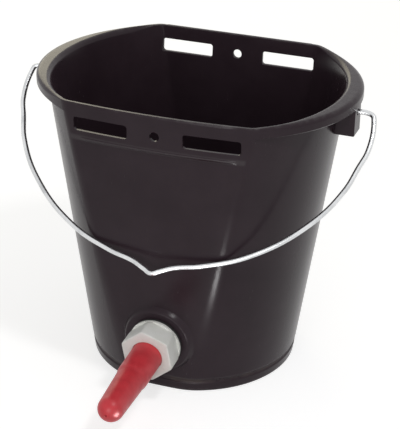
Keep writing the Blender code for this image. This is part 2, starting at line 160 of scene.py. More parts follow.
def add_piece(name, mesh, place=Matrix.Identity(4)):
    """Puts a mesh into the scene as an object whose origin is the bucket's own."""
    bmesh.ops.remove_doubles(mesh, verts=mesh.verts, dist=MERGE_DISTANCE)
    bmesh.ops.recalc_face_normals(mesh, faces=mesh.faces)
    mesh.transform(place)
    data = bpy.data.meshes.new(name)
    mesh.to_mesh(data)
    mesh.free()
    data.shade_smooth()
    data.set_sharp_from_angle(angle=SHARP)
    piece = bpy.data.objects.new(name, data)
    bpy.context.scene.collection.objects.link(piece)
    return piece


def combine(piece, tools, operation):
    """Joins the tools to a piece or cuts it with them, and clears them away."""
    group = bpy.data.collections.new("tools")
    for tool in tools:
        group.objects.link(tool)
    step = piece.modifiers.new("tools", "BOOLEAN")
    step.operation = operation
    step.operand_type = "COLLECTION"
    step.collection = group
    step.solver = "EXACT"
    shaped = piece.evaluated_get(bpy.context.evaluated_depsgraph_get())
    piece.data = bpy.data.meshes.new_from_object(shaped)
    piece.modifiers.clear()
    for tool in tools:
        bpy.data.objects.remove(tool)
    bpy.data.collections.remove(group)


FOOT = [(0, 1.0), (1.0, 0), (8.5, 0), (9.7, 1.2), (11.9, 1.2), (14.3, 0), (30, 0)]
FOOT_ROUND = 0.8 * MM
FLOOR = 4 * MM
FLOOR_FILLET = 6 * MM
FILLET_STEPS = 6
WALL_RINGS = 12
SKIRT_DEPTH = 10 * MM
SKIRT_WALL = 2.6 * MM
RIM_THICKNESS = 3.4 * MM
RIM_ROUND = 5.0 * MM
RIM_ROUND_DROP = 3.9 * MM
LIP_ROUND = 4.5 * MM
FLAT_TOP_ROUND = 0.6 * MM
FULL_RIM = 6 * MM
SKIRT_EDGE = 0.8 * MM
SKIRT_TRACE = 0.06 * MM
SKIRT_SHARE = 0.6
SKIRT_EDGE_SHARE = 0.3
RIM_SHARE = 0.95
ROLL_STEPS = 8


def outer_wall():
    """The foot ring, the groove over it and the wall up to the skirt."""
    foot = soften([(level * MM, inset * MM) for level, inset in FOOT], FOOT_ROUND)
    rings = [ring(outline(level, inset), level) for level, inset in foot]
    levels = np.linspace(foot[-1][0], HEIGHT - SKIRT_DEPTH - 2 * SKIRT_TRACE, WALL_RINGS)
    return rings + [ring(outline(level), level) for level in levels[1:]]


def inner_wall():
    """The inside, from under the lip down to the floor."""
    top = HEIGHT - 2 * LIP_ROUND
    levels = np.linspace(top, FLOOR + FLOOR_FILLET, WALL_RINGS)
    rings = [ring(outline(level, WALL), level) for level in levels]
    for turn in np.linspace(0, math.pi / 2, FILLET_STEPS + 1)[1:]:
        level = FLOOR + FLOOR_FILLET * (1 - math.sin(turn))
        rings.append(ring(outline(level, WALL + FLOOR_FILLET * (1 - math.cos(turn))), level))
    return rings


def smooth(share):
    """A rise from 0 to 1 that starts and ends softly."""
    share = np.clip(share, 0, 1)
    return share * share * (3 - 2 * share)


def near_top(level, inset=0.0, reach=None):
    """Points on the wall or the skirt near the top, where each point has its own level."""
    low = outline(HEIGHT - SKIRT_DEPTH, inset, reach)
    high = outline(HEIGHT, inset, reach)
    share = (np.broadcast_to(level, len(low)) - HEIGHT + SKIRT_DEPTH) / SKIRT_DEPTH
    return low + (high - low) * share[:, None]


def rim():
    """The flange's hollow, the skirt, the rolled rim and the lip, which narrow to a trace at the flats."""
    under = HEIGHT - SKIRT_DEPTH
    outward = outline(HEIGHT, 0, RIM_REACH) - outline(HEIGHT, WALL)
    width = np.linalg.norm(outward, axis=1)
    outward /= width[:, None]
    overhang = np.linalg.norm(outline(HEIGHT, 0, RIM_REACH) - outline(HEIGHT), axis=1)
    full = smooth(overhang / FULL_RIM)
    skirt = np.minimum(SKIRT_WALL, SKIRT_SHARE * (overhang + SKIRT_TRACE))
    edge = np.minimum(SKIRT_EDGE, SKIRT_EDGE_SHARE * skirt)
    roof_rise = SKIRT_DEPTH - RIM_THICKNESS
    roof = under + SKIRT_TRACE / 2 + roof_rise * smooth((overhang - SKIRT_WALL) / SKIRT_WALL)

    def hanging(level, depth):
        """Points on the skirt, a depth in from its outer face."""
        return ring(near_top(level, 0, RIM_REACH) - outward * depth[:, None], level)

    rings = [
        ring(near_top(under) - outward * SKIRT_TRACE, under),
        ring(near_top(roof) - outward * SKIRT_TRACE, roof),
        hanging(roof, skirt),
        hanging(under + edge, skirt),
        hanging(under, skirt - edge),
        hanging(under, edge),
        hanging(under + edge, 0 * edge),
    ]
    roll = FLAT_TOP_ROUND + (RIM_ROUND - FLAT_TOP_ROUND) * full
    roll_drop = FLAT_TOP_ROUND + (RIM_ROUND_DROP - FLAT_TOP_ROUND) * full
    lip = FLAT_TOP_ROUND + (LIP_ROUND - FLAT_TOP_ROUND) * full
    squeeze = np.minimum(1, RIM_SHARE * width / (roll + lip))
    for turn in np.linspace(0, math.pi / 2, ROLL_STEPS):
        level = HEIGHT - roll_drop * (1 - math.sin(turn))
        rings.append(hanging(level, roll * squeeze * (1 - math.cos(turn))))
    for turn in np.linspace(math.pi / 2, 0, ROLL_STEPS):
        level = HEIGHT - lip * (1 - math.sin(turn))
        depth = lip * squeeze * (1 - math.cos(turn))
        rings.append(ring(near_top(level, WALL) + outward * depth[:, None], level))
    return rings


BAND_DEPTH = 31.5 * MM
BAND_HALF_WIDTH = 74 * MM
BAND_LIFT = 0.8 * MM
BAND_TOP = 1.1 * MM
BAND_STEP = 2.4 * MM
BAND_PROFILE = ((0, 0.5), (0.3, 0.2), (0.8, -0.2), (1, -0.5))
BAND_FADE = 12 * MM
BAND_TRACE = 0.02
BAND_CORNER = 3 * MM
STRAIGHT_STEP = 2.5 * MM
PLATE_CORNER_POINTS = 7
SMALLEST_CORNER = 0.05 * MM
BEAD_DROP = 32.2 * MM
BEAD_LIFT = 1.3 * MM
BEAD_SINK = 0.25 * MM
BEAD_HALF_HEIGHT = 3.0 * MM
BEAD_CROWN = 0.95
BEAD_STEPS = 9
SLOT_LENGTH = 50 * MM
SLOT_HEIGHT = 12.4 * MM
SLOT_SPACING = 100 * MM
SLOT_DEPTH = 19.2 * MM
SLOT_CORNER = 2.5 * MM
SLOT_EDGE = 0.6 * MM
SLOT_EASE = 0.4
CUT_REACH = 10 * MM
HANG_HOLE_RADIUS = 4.2 * MM
HANG_HOLE_DEPTH = 18.8 * MM


def plate(middle, half_x, half_z, corner):
    """Makes a rounded rectangle or circle of (x, z) about a middle, grown as told."""
    turns = np.linspace(0, math.pi / 2, PLATE_CORNER_POINTS)
    steps = max(1, round(2 * (half_x - corner) / STRAIGHT_STEP))

    def points(grow):
        radius = max(corner + grow, SMALLEST_CORNER)
        reach = half_x + grow - radius
        arc_x = reach + radius * np.cos(turns)
        arc_z = half_z + grow - radius + radius * np.sin(turns)
        straight = np.linspace(reach, -reach, steps + 1)[1:-1]
        x = np.concatenate((arc_x, straight, -arc_x[::-1]))
        z = np.concatenate((arc_z, np.full(len(straight), half_z + grow), arc_z[::-1]))
        return middle[0] + np.append(x, x[::-1]), middle[1] + np.append(z, -z[::-1])
    return points


def on_flat(name, side, points, layers, lift=lambda x: 1):
    """A block that follows a flat, from layers of (depth out of the wall's face, growth of its outline)."""
    crown = FRONT_CROWN if side < 0 else 0
    rings = []
    for depth, grow in layers:
        x, z = points(grow)
        rings.append(np.column_stack((x, side * (flat_distance(z) + depth * lift(x) - crown * x * x), z)))
    return add_piece(name, skin(rings, "across"))


def cut_through(name, side, points):
    """A cutter through a band and the wall behind it, which eases both edges of the cut."""
    bite = SLOT_EDGE
    ease = SLOT_EASE * bite
    layers = [(BAND_LIFT + bite, 2 * bite), (BAND_LIFT, bite), (BAND_LIFT - ease, ease),
              (BAND_LIFT - bite, 0), (bite - WALL, 0), (ease - WALL, ease), (-WALL, bite),
              (-WALL - CUT_REACH, bite)]
    return on_flat(name, side, points, layers)


def bands():
    """Raised bands down from the rim's edge, with soft steps and ends, and a bead under the front one."""
    tools = []
    half = (BAND_DEPTH - BAND_TOP) / 2
    shape = plate((0, HEIGHT - BAND_DEPTH + half), BAND_HALF_WIDTH, half, BAND_CORNER)
    layers = [(-WALL / 2, BAND_STEP / 2)]
    layers += [(rise * BAND_LIFT, grow * BAND_STEP) for rise, grow in BAND_PROFILE]

    def fade(x):
        return BAND_TRACE + (1 - BAND_TRACE) * smooth((BAND_HALF_WIDTH - np.abs(x)) / BAND_FADE)

    for side, place in ((-1, "front"), (1, "back")):
        tools.append(on_flat(f"{place}_band", side, shape, layers, fade))
    shape = plate((0, HEIGHT - BEAD_DROP), BAND_HALF_WIDTH, BEAD_HALF_HEIGHT, BEAD_HALF_HEIGHT)
    share = np.linspace(0, BEAD_CROWN, BEAD_STEPS)
    depths = (BEAD_LIFT + BEAD_SINK) * smooth(share) - BEAD_SINK
    layers = [(-WALL / 2, 0), *zip(depths, -BEAD_HALF_HEIGHT * share)]
    tools.append(on_flat("front_bead", -1, shape, layers, fade))
    return tools


def slots_and_holes():
    tools = []
    for side, place in ((-1, "front"), (1, "back")):
        for end in (-1, 1):
            middle = (end * SLOT_SPACING / 2, HEIGHT - SLOT_DEPTH)
            shape = plate(middle, SLOT_LENGTH / 2, SLOT_HEIGHT / 2, SLOT_CORNER)
            tools.append(cut_through(f"{place}_slot", side, shape))
        radius = HANG_HOLE_RADIUS
        shape = plate((0, HEIGHT - HANG_HOLE_DEPTH), radius, radius, radius)
        tools.append(cut_through(f"{place}_hole", side, shape))
    return tools


PIVOT_HEIGHT = HEIGHT - 15 * MM
EAR_REACH = RIM_REACH - 1 * MM
EAR_PLATE = 4.5 * MM
EAR_HALF_WIDTH = 10 * MM
EAR_RIB = 3 * MM
EAR_DROP = 20 * MM
EAR_EDGE = 0.9 * MM
EAR_EDGE_STEPS = 3
EAR_HOLE_RADIUS = 2.8 * MM
EAR_HOLE_SIDES = 32
EAR_HOLE_EASE = ((0, -0.6), (0.2, -0.2), (0.7, 0.1), (0.9, 1))


def circle(sides):
    """The turns round a circle, and its points at a radius of one."""
    turns = np.arange(sides) * 2 * math.pi / sides
    return turns, np.column_stack((np.cos(turns), np.sin(turns)))


def turned(profile, ends="capped", sides=72):
    """A turned mesh about its own Z from points of (radius, level)."""
    _, points = circle(sides)
    return skin([ring(points * radius, level) for radius, level in profile], ends)


def ears():
    """Two ears that the bail turns in: an outer plate on two ribs, open below, with eased edges."""
    tools = []
    for side in (-1, 1):
        rings = []
        for level in (PIVOT_HEIGHT - EAR_DROP, HEIGHT - RIM_THICKNESS / 2):
            root = BASE_RADIUS + (TOP_RADIUS - BASE_RADIUS) * level / HEIGHT - WALL / 2
            inner = EAR_REACH - EAR_PLATE
            half = EAR_HALF_WIDTH
            pocket = half - EAR_RIB
            rings.append([
                (side * x, y, level) for x, y in (
                    (root, -half), (EAR_REACH, -half), (EAR_REACH, half), (root, half),
                    (root, pocket), (inner, pocket), (inner, -pocket), (root, -pocket))])
        mesh = skin(rings)
        bmesh.ops.bevel(mesh, geom=mesh.edges[:], offset=EAR_EDGE, segments=EAR_EDGE_STEPS, profile=0.5,
                        affect="EDGES", clamp_overlap=True)
        tools.append(add_piece("ear", mesh))
    return tools


def ear_holes():
    """Drills for the bail's two ends, which ease the outer edge of each hole."""
    tools = []
    face = EAR_REACH
    radius = EAR_HOLE_RADIUS
    profile = [(radius, face - 2 * EAR_PLATE)]
    profile += [(radius + out * MM, face + rise * MM) for out, rise in EAR_HOLE_EASE]
    for side in (-1, 1):
        place = Matrix.Translation((0, 0, PIVOT_HEIGHT)) @ Matrix.Rotation(side * math.pi / 2, 4, "Y")
        tools.append(add_piece("ear_hole", turned(profile, sides=EAR_HOLE_SIDES), place))
    return tools


VALVE_HEIGHT = 52 * MM
PAD_RADIUS = 32 * MM
PAD_LIFT = 5 * MM
PAD_SLOPE = 2.8 * MM
PAD_SINK = 1.2 * MM
PAD_CORE = 1 * MM
PAD_STEPS = 17
PAD_SIDES = 96
INNER_PAD_RADIUS = 28 * MM
INNER_PAD_LIFT = 1.2 * MM
INNER_PAD_EDGE = 0.6 * MM
SPIGOT_RADIUS = 17 * MM
CLEAR = 0.3 * MM
valve_axis = (Matrix.Translation((0, -flat_distance(VALVE_HEIGHT), VALVE_HEIGHT))
              @ Matrix.Rotation(math.pi / 2 + FLAT_LEAN, 4, "X"))


def pads():
    """The thick places round the bore: the outer one slopes softly down to the wall."""
    share = np.linspace(0, 1, PAD_STEPS)
    radius = PAD_RADIUS - PAD_SLOPE + 2 * PAD_SLOPE * share
    level = PAD_LIFT - (PAD_LIFT + PAD_SINK) * smooth(share)
    outer = [(PAD_CORE, PAD_LIFT), *zip(radius, level), (radius[-1], -WALL / 2 - PAD_SINK)]
    back = -WALL - INNER_PAD_LIFT
    inner = [(PAD_CORE, back), (INNER_PAD_RADIUS, back), (INNER_PAD_RADIUS, -WALL / 2)]
    return [add_piece("pad", turned(outer, sides=PAD_SIDES), valve_axis),
            add_piece("inner_pad", turned(soften(inner, INNER_PAD_EDGE), sides=PAD_SIDES), valve_axis)]


bucket = add_piece("bucket", skin(outer_wall() + rim() + inner_wall()))
combine(bucket, bands() + ears() + pads(), "UNION")
bore = turned([(SPIGOT_RADIUS + CLEAR, -4 * WALL), (SPIGOT_RADIUS + CLEAR, 2 * PAD_LIFT)])
combine(bucket, slots_and_holes() + ear_holes() + [add_piece("bore", bore, valve_axis)], "DIFFERENCE")
bucket.data.shade_smooth()
bucket.data.set_sharp_from_angle(angle=SHARP)
weights = bucket.modifiers.new("weights", "WEIGHTED_NORMAL")
weights.mode = "FACE_AREA"
weights.weight = 100
weights.keep_sharp = True


class Socket:
    """One value in a node tree, so that a finish is written as plain sums."""

    def __init__(self, tree, socket=None):
        self.tree = tree
        self.socket = socket

    def node(self, kind, settings, values, output=0):
        """Adds a node, sets it up, feeds its sockets and gives one of its outputs."""
        made = self.tree.nodes.new("ShaderNode" + kind)
        for name, setting in settings.items():
            setattr(made, name, setting)
        for name, value in values.items():
            if isinstance(value, Socket):
                self.tree.links.new(value.socket, made.inputs[name])
            else:
                made.inputs[name].default_value = value
        return Socket(self.tree, made.outputs[output])

    def feed(self, shader, name):
        self.tree.links.new(self.socket, shader.inputs[name])

    def maths(self, operation, *values):
        return self.node("Math", {"operation": operation}, dict(enumerate(values)))

    def __add__(self, other):
        return self.maths("ADD", self, other)

    def __radd__(self, other):
        return self.maths("ADD", other, self)

    def __sub__(self, other):
        return self.maths("SUBTRACT", self, other)

    def __rsub__(self, other):
        return self.maths("SUBTRACT", other, self)

    def __mul__(self, other):
        return self.maths("MULTIPLY", self, other)

    def __rmul__(self, other):
        return self.maths("MULTIPLY", other, self)

    def along(self, axis):
        """How far this vector goes along one axis."""
        return self.node("SeparateXYZ", {}, {0: self}, axis)

    def stretched(self, scale):
        """A vector scaled along each axis."""
        return self.node("VectorMath", {"operation": "MULTIPLY"}, {0: self, 1: scale})

    def noise(self, scale, detail=4.0, rough=0.5):
        """Cloudy values from 0 to 1 at this place."""
        values = {"Vector": self, "Scale": scale, "Detail": detail, "Roughness": rough}
        return self.node("TexNoise", {}, values)

    def rising(self, low, high):
        """0 below one value and 1 above another, with a soft rise between them."""
        values = {"Value": self, "From Min": low, "From Max": high}
        return self.node("MapRange", {"interpolation_type": "SMOOTHSTEP"}, values)

    def blend(self, under, over):
        """One colour over another, by this value."""
        return self.node("Mix", {"data_type": "RGBA"}, {0: self, 6: under, 7: over}, 2)

    def bump(self, distance, strength=1.0):
        """A normal from this height."""
        return self.node("Bump", {}, {"Height": self, "Distance": distance, "Strength": strength})


def new_finish(name, **values):
    """A finish with its even values on the shader's own sockets, and the place that its sums start from."""
    finish = bpy.data.materials.new(name)
    finish.use_nodes = True
    shader = finish.node_tree.nodes["Principled BSDF"]
    for socket, value in values.items():
        shader.inputs[socket.replace("_", " ")].default_value = value
    place = Socket(finish.node_tree).node("TexCoord", {}, {}, "Object")
    return finish, shader, place


BUCKET_DARK = (0.026, 0.0160, 0.021, 1)
BUCKET_LIGHT = (0.034, 0.0220, 0.028, 1)
BUCKET_SCUFF_AND_SHEEN = (0.085, 0.075, 0.078, 1)
BUCKET_DUST = (0.150, 0.125, 0.100, 1)
TOP_WEAR = 2.5 * MM
FOOT_WEAR = (0.5 * MM, 4 * MM)
GROOVE_FOOT = (8.5 * MM, 10 * MM)
GROOVE_TOP = (12 * MM, 14.5 * MM)
BEAD_WEAR_AND_SHEEN = 3.6 * MM
BEAD_WEAR_AND_SHEEN_CORE = 0.8 * MM
FACES_FRONT = (-0.97, -0.90)
FRONT_WALL = (-90 * MM, -60 * MM)


def polypropylene():
    """Dark moulded plastic: fine orange peel, flow marks, scuffs, a painted highlight mixed with wear along
    the bead's front, and dust in the groove.
    """
    finish, shader, place = new_finish("black_polypropylene", Specular_IOR_Level=0.15)
    height = place.along("Z")
    depth = place.along("Y")
    clouds = place.noise(14.0, 5.0, 0.6)
    scratches = place.stretched((1.0, 1.0, 0.12)).noise(900.0, 2.0, 0.7).rising(0.66, 0.78)
    scratches = scratches * place.noise(30.0).rising(0.5, 0.68)
    worn_top = height.rising(HEIGHT - TOP_WEAR, HEIGHT) * place.noise(160.0).rising(0.4, 0.7)
    worn_foot = (1 - height.rising(*FOOT_WEAR)) * place.noise(220.0).rising(0.35, 0.6)
    groove = height.rising(*GROOVE_FOOT) * (1 - height.rising(*GROOVE_TOP))
    dust = groove * place.noise(60.0).rising(0.35, 0.75)
    facing = place.node("TexCoord", {}, {}, "Normal")
    front = (1 - facing.along("Y").rising(*FACES_FRONT)) * (1 - depth.rising(*FRONT_WALL))
    # The bead's lighter strip is partly a painted highlight, a band painted lighter on the front-facing
    # crest of the bead where light catches it, and partly rubbed wear.
    bead = HEIGHT - BEAD_DROP
    bead_wear_and_sheen = height.rising(bead - BEAD_WEAR_AND_SHEEN, bead - BEAD_WEAR_AND_SHEEN_CORE)
    bead_wear_and_sheen = bead_wear_and_sheen * (1 - height.rising(bead + BEAD_WEAR_AND_SHEEN_CORE, bead + BEAD_WEAR_AND_SHEEN))
    bead_wear_and_sheen = front * bead_wear_and_sheen * (0.6 + 0.4 * place.noise(90.0))
    colour = clouds.rising(0.3, 0.7).blend(BUCKET_DARK, BUCKET_LIGHT)
    colour = (0.45 * scratches).blend(colour, BUCKET_SCUFF_AND_SHEEN)
    # The bead term paints the lighter strip along the bead's front: painted highlight with some wear.
    colour = (0.35 * worn_top + 0.45 * worn_foot + 0.55 * bead_wear_and_sheen).blend(colour, BUCKET_SCUFF_AND_SHEEN)
    colour = (0.25 * dust).blend(colour, BUCKET_DUST)
    colour.feed(shader, "Base Color")
    rough = 0.20 + 0.10 * clouds + 0.15 * scratches + 0.12 * worn_foot + 0.25 * dust
    rough.feed(shader, "Roughness")
    peel = place.noise(1400.0, 3.0) + 0.6 * place.noise(260.0, 2.0) - 1.5 * scratches
    peel.bump(0.02 * MM, 0.5).feed(shader, "Normal")
    return finish


bucket.data.materials.clear()
bucket.data.materials.append(polypropylene())
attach(bucket, "bucket")
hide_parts("bucket_shell")

# The bail is one bent, bright zinc-plated steel wire. Its ends turn in through the ears and are upset to
# flat heads behind the plates, and its middle is bent to a shallow V to carry on a hook.

WIRE_RADIUS = 2.3 * MM
BAIL_REST = math.radians(42)
BAIL_HALF_SPAN = EAR_REACH + 15.3 * MM
BAIL_REACH = 176 * MM
BAIL_HEAD_RADIUS = 4.2 * MM
BAIL_HEAD_LENGTH = 2.5 * MM
BAIL_BEND = 6 * MM
BAIL_SWELL = 1 * MM
BAIL_NARROWING = 4 * MM
BAIL_SHAPE = ((0.93, 0.41), (0.79, 0.604), (0.515, 0.811), (0.265, 0.905), (0.11, 0.941), (0.045, 0.968))
BAIL_TIP = 0.985
WIRE_ROUNDNESS = 6
WIRE_STEPS = 14
ZINC_BRIGHT = (0.72, 0.73, 0.74, 1)
ZINC_DULL = (0.42, 0.43, 0.44, 1)
ZINC_STAIN = (0.22, 0.20, 0.17, 1)


def bail_route():
    """Knots of (x, reach from the pivots, thickness) from one end to the other."""
    seat = EAR_REACH - EAR_PLATE - CLEAR
    upset = BAIL_HEAD_RADIUS / WIRE_RADIUS
    span, reach, turn = BAIL_HALF_SPAN, BAIL_REACH, BAIL_BEND
    half = [(seat - BAIL_HEAD_LENGTH, 0, upset), (seat - CLEAR, 0, upset), (seat, 0, 1)]
    half += [(x, down, 1) for x, down in (
        (span - turn, 0), (span - 0.3 * turn, 0.3 * turn), (span, turn),
        (span + BAIL_SWELL, 0.19 * reach), (span - BAIL_NARROWING, 0.285 * reach))]
    half += [(across * span, down * reach, 1) for across, down in BAIL_SHAPE]
    return half + [(0, BAIL_TIP * reach, 1)] + [(-x, down, thick) for x, down, thick in reversed(half)]


def make_bail():
    curve = bpy.data.curves.new("bail_wire", "CURVE")
    curve.dimensions = "3D"
    curve.bevel_depth = WIRE_RADIUS
    curve.bevel_resolution = WIRE_ROUNDNESS
    curve.use_fill_caps = True
    wire = curve.splines.new("BEZIER")
    wire.resolution_u = WIRE_STEPS
    route = bail_route()
    wire.bezier_points.add(len(route) - 1)
    for knot, (x, down, thick) in zip(wire.bezier_points, route):
        knot.co = (x, 0, -down)
        knot.radius = thick
        knot.handle_left_type = knot.handle_right_type = "AUTO"
    piece = bpy.data.objects.new("bail_wire", curve)
    bpy.context.scene.collection.objects.link(piece)
    piece.matrix_world = Matrix.Translation((0, 0, PIVOT_HEIGHT)) @ Matrix.Rotation(-BAIL_REST, 4, "X")
    return piece


def zinc():
    """Bright plated wire: faint spangle, dull patches, and fine drawing lines that catch the light."""
    finish, shader, place = new_finish("galvanised_wire", Metallic=1.0)
    patches = place.noise(45.0, 5.0, 0.6).rising(0.42, 0.72)
    spangle = place.node("TexVoronoi", {}, {"Vector": place, "Scale": 700.0}, "Color")
    spangle = spangle.node("SeparateColor", {}, {0: spangle})
    stain = place.noise(120.0, 4.0, 0.7).rising(0.66, 0.80)
    colour = (0.6 * patches + 0.15 * spangle).blend(ZINC_BRIGHT, ZINC_DULL)
    colour = (0.35 * stain).blend(colour, ZINC_STAIN)
    colour.feed(shader, "Base Color")
    rough = 0.20 + 0.14 * patches + 0.06 * spangle + 0.15 * stain
    rough.feed(shader, "Roughness")
    lines = place.stretched((0.15, 1.0, 1.0)).noise(2600.0, 2.0)
    (lines + 0.8 * place.noise(500.0)).bump(0.03 * MM, 0.45).feed(shader, "Normal")
    return finish


bail = make_bail()
bail.data.materials.append(zinc())
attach(bail, "bail")
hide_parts("bail")

# The valve body is a white nylon moulding: a flange inside the bucket, a spigot through the wall, and the
# ball's chamber in it. A spoked retainer keeps the ball in, and two soft rubber rings seal the wall.

FLANGE_RADIUS = 25.5 * MM
FLANGE_THICKNESS = 3.5 * MM
INNER_GASKET_THICKNESS = 2.5 * MM
OUTER_GASKET_THICKNESS = 2.4 * MM
GASKET_RADIUS = 24 * MM
BALL_RADIUS = 8 * MM
BALL_TRAVEL = 5 * MM
BALL_DETAIL = 5
CHAMBER_RADIUS = 9.3 * MM
INLET_RADIUS = 6 * MM
RETAINER_RADIUS = 13.7 * MM
RETAINER_THICKNESS = 3.2 * MM
MOULD_EDGE = 0.5 * MM
NUT_LENGTH = 22 * MM
NUT_LIP = 3 * MM
TEAT_FLANGE = 3 * MM
nut_back = PAD_LIFT + CLEAR + OUTER_GASKET_THICKNESS + CLEAR
teat_lip = nut_back + NUT_LENGTH - NUT_LIP - CLEAR
spigot_end = teat_lip - TEAT_FLANGE - CLEAR
retainer_back = spigot_end - RETAINER_THICKNESS
ball_level = retainer_back - CLEAR - BALL_TRAVEL - BALL_RADIUS
NYLON_CLEAN = (0.80, 0.80, 0.77, 1)
NYLON_AGED = (0.70, 0.71, 0.64, 1)
NYLON_GRIME = (0.30, 0.27, 0.22, 1)


def nylon(name, grime):
    """Satin white plastic: yellowed in clouds, with grime in patches and a fine moulded grain."""
    finish, shader, place = new_finish(name, Specular_IOR_Level=0.45)
    aged = place.noise(60.0, 4.0, 0.6).rising(0.35, 0.75)
    dirt = place.noise(240.0, 5.0, 0.65).rising(0.55, 0.80)
    colour = (0.4 * aged).blend(NYLON_CLEAN, NYLON_AGED)
    colour = (grime * dirt).blend(colour, NYLON_GRIME)
    colour.feed(shader, "Base Color")
    (0.36 + 0.12 * aged + 0.2 * dirt).feed(shader, "Roughness")
    (place.noise(1800.0) + 0.5 * place.noise(300.0)).bump(0.02 * MM, 0.5).feed(shader, "Normal")
    return finish


def rubber(name, dark, light):
    """Matt black rubber, dusty and finely pitted."""
    finish, shader, place = new_finish(name, Specular_IOR_Level=0.35)
    dusty = place.noise(180.0, 5.0, 0.65).rising(0.4, 0.75)
    dusty.blend(dark, light).feed(shader, "Base Color")
    (0.62 + 0.2 * dusty).feed(shader, "Roughness")
    place.noise(2200.0, 3.0).bump(0.04 * MM, 0.7).feed(shader, "Normal")
    return finish


def fit(piece, finish, body, node):
    """Gives a piece its finish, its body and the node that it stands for."""
    piece.data.materials.append(finish)
    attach(piece, body)
    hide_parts(node)


def make_valve():
    back = -(WALL + INNER_PAD_LIFT + 2 * CLEAR + INNER_GASKET_THICKNESS + FLANGE_THICKNESS)
    front = back + FLANGE_THICKNESS
    shelf = retainer_back - CLEAR
    cone_tip = ball_level - (BALL_RADIUS + CLEAR / 2) * math.sqrt(2)
    body = soften([
        (INLET_RADIUS, back), (FLANGE_RADIUS, back), (FLANGE_RADIUS, front), (SPIGOT_RADIUS, front),
        (SPIGOT_RADIUS, spigot_end), (RETAINER_RADIUS + CLEAR, spigot_end), (RETAINER_RADIUS + CLEAR, shelf),
        (CHAMBER_RADIUS, shelf), (CHAMBER_RADIUS, cone_tip + CHAMBER_RADIUS),
        (INLET_RADIUS, cone_tip + INLET_RADIUS)], MOULD_EDGE, closed=True)
    nylon_plain = nylon("white_nylon", 0.15)
    piece = add_piece("valve_moulding", turned(body, "closed"), valve_axis)
    fit(piece, nylon_plain, "bucket", "valve_body")
    black = rubber("black_rubber", (0.016, 0.016, 0.016, 1), (0.035, 0.033, 0.030, 1))
    inner = SPIGOT_RADIUS + CLEAR
    for node, start, thick in (("inner_gasket", front + CLEAR, INNER_GASKET_THICKNESS),
                               ("outer_gasket", PAD_LIFT + CLEAR, OUTER_GASKET_THICKNESS)):
        end = start + thick
        seal = soften([(inner, start), (GASKET_RADIUS, start), (GASKET_RADIUS, end), (inner, end)],
                      MOULD_EDGE, closed=True)
        piece = add_piece(f"{node}_seal", turned(seal, "closed"), valve_axis)
        fit(piece, black, "bucket", node)
    return nylon_plain


def make_ball():
    mesh = bmesh.new()
    bmesh.ops.create_icosphere(mesh, subdivisions=BALL_DETAIL, radius=BALL_RADIUS)
    piece = add_piece("valve_ball_smooth", mesh, valve_axis @ Matrix.Translation((0, 0, ball_level)))
    fit(piece, nylon("white_ball", 0.08), "valve_ball", "valve_ball")


nylon_plain = make_valve()
make_ball()
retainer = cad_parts["ball_retainer"]
retainer.data.materials.clear()
retainer.data.materials.append(nylon_plain)

# The union nut is moulded in the same nylon. It screws on the spigot, clamps the valve to the wall and
# holds the teat by its flange: six flats with eased edges behind a round collar.

NUT_ACROSS_FLATS = 44 * MM
NUT_COLLAR_RADIUS = 24 * MM
NUT_COLLAR_LENGTH = 2.5 * MM
NUT_CHAMFER = 2 * MM
NUT_EDGE = 1.0 * MM
NUT_EDGE_STEPS = 5
NUT_MARGIN = 1 * MM
NUT_CORNER_REACH = 1.02 * NUT_ACROSS_FLATS / math.sqrt(3)
NUT_CORNER_ROUND = 40
NUT_TURN = math.radians(40)
NUT_SIDES = 120
TEAT_BASE_RADIUS = 14.2 * MM


def hexagon(level, inset, limit):
    """A soft-cornered hexagon at one level, moved in by an inset and turned down to a radius."""
    turns, points = circle(NUT_SIDES)
    local = (turns + math.pi / 6) % (math.pi / 3) - math.pi / 6
    flats = (NUT_ACROSS_FLATS / 2 - inset) / np.cos(local)
    beside = (NUT_ACROSS_FLATS / 2 - inset) / np.cos(math.pi / 3 - np.abs(local))
    power = NUT_CORNER_ROUND
    radius = (flats ** -power + beside ** -power + limit ** -power) ** (-1 / power)
    return ring(points * radius[:, None], level)


def make_nut():
    _, points = circle(NUT_SIDES)
    front = nut_back + NUT_LENGTH
    collar = nut_back + NUT_COLLAR_LENGTH
    corner = NUT_CORNER_REACH
    bore = SPIGOT_RADIUS + CLEAR
    mouth = TEAT_BASE_RADIUS + CLEAR
    rounds = [(bore, nut_back), (NUT_COLLAR_RADIUS, nut_back), (NUT_COLLAR_RADIUS, collar)]
    rounds = soften(rounds, MOULD_EDGE)
    rings = [ring(points * radius, level) for radius, level in rounds]
    rings.append(hexagon(collar, 0, NUT_COLLAR_RADIUS - CLEAR))
    rings.append(hexagon(collar + 0.6 * NUT_CHAMFER, 0, (NUT_COLLAR_RADIUS + corner) / 2))
    rings.append(hexagon(collar + 1.6 * NUT_CHAMFER, 0, corner))
    for turn in np.linspace(0, math.pi / 2, NUT_EDGE_STEPS):
        inset = NUT_EDGE * (1 - math.cos(turn))
        rings.append(hexagon(front - NUT_EDGE * (1 - math.sin(turn)), inset, corner - inset))
    for radius, level in soften([(mouth + NUT_MARGIN, front), (mouth, front), (mouth, front - NUT_LIP),
                                 (bore, front - NUT_LIP), (bore, nut_back + NUT_MARGIN)], MOULD_EDGE):
        rings.append(ring(points * radius, level))
    turn = Matrix.Rotation(NUT_TURN - math.pi / 6, 4, "Z")
    return add_piece("nut", skin(rings, "closed"), valve_axis @ turn)


fit(make_nut(), nylon("nut_nylon", 0.15), "union_nut", "union_nut")

# The teat is moulded in soft red rubber and is hollow. A flange at its root sits under the nut's lip, a
# thicker root steps down to the waist, and its round tip has a small milk hole.

